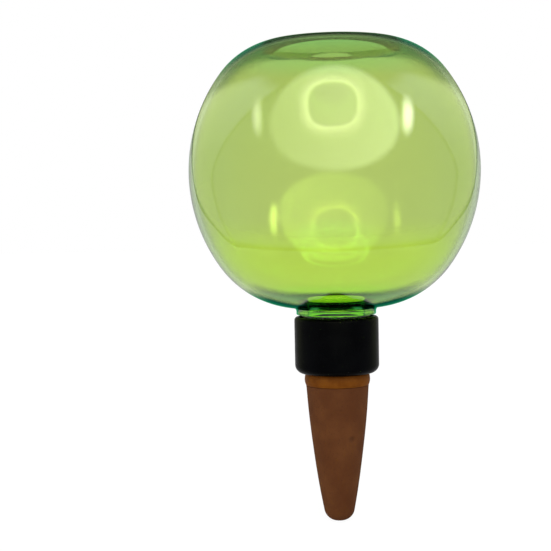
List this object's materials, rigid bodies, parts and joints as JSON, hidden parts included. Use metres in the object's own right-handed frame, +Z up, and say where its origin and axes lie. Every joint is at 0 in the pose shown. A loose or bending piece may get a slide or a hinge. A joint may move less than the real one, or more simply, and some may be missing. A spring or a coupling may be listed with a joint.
{
  "type": "plant watering bulb",
  "caption": "Blown glass watering globe with a flattened hollowed end, a screw cap, a rubber grommet and a hollow clay spike that is pushed into soil.",
  "frame": {"origin": "on the axis at the underside of the screw cap, the soil line when the spike is pushed all the way in", "axes": "+Z up along the axis, from the clay spike to the glass globe; the part is the same all round Z"},
  "size_m": [0.15, 0.15, 0.2484],
  "materials": {
    "green_glass": "clear yellow-green blown glass",
    "black_plastic": "smooth black moulded plastic",
    "grey_rubber": "matt grey rubber",
    "amber_rubber": "satin amber-brown rubber",
    "terracotta": "unglazed dark terracotta"
  },
  "bodies": {
    "spike_assembly": {"clay_spike": "terracotta", "grommet": "amber_rubber", "sealing_washer": "grey_rubber"},
    "cap": {"screw_cap": "black_plastic"},
    "globe": {"glass_globe": "green_glass"}
  },
  "joints": [
    {"name": "cap_turn", "type": "hinge", "parent": "spike_assembly", "child": "cap", "pos_m": [0, 0, 0], "axis": [0, 0, -1], "range_deg": [0, 1080]},
    {"name": "globe_lift", "type": "slide", "parent": "spike_assembly", "child": "globe", "axis": [0, 0, 1], "range_m": [0, 0.0135]}
  ],
  "couplings": [
    {"joint": "cap_turn", "follows": "globe_lift", "rad_per_m": 1396.3}
  ]
}
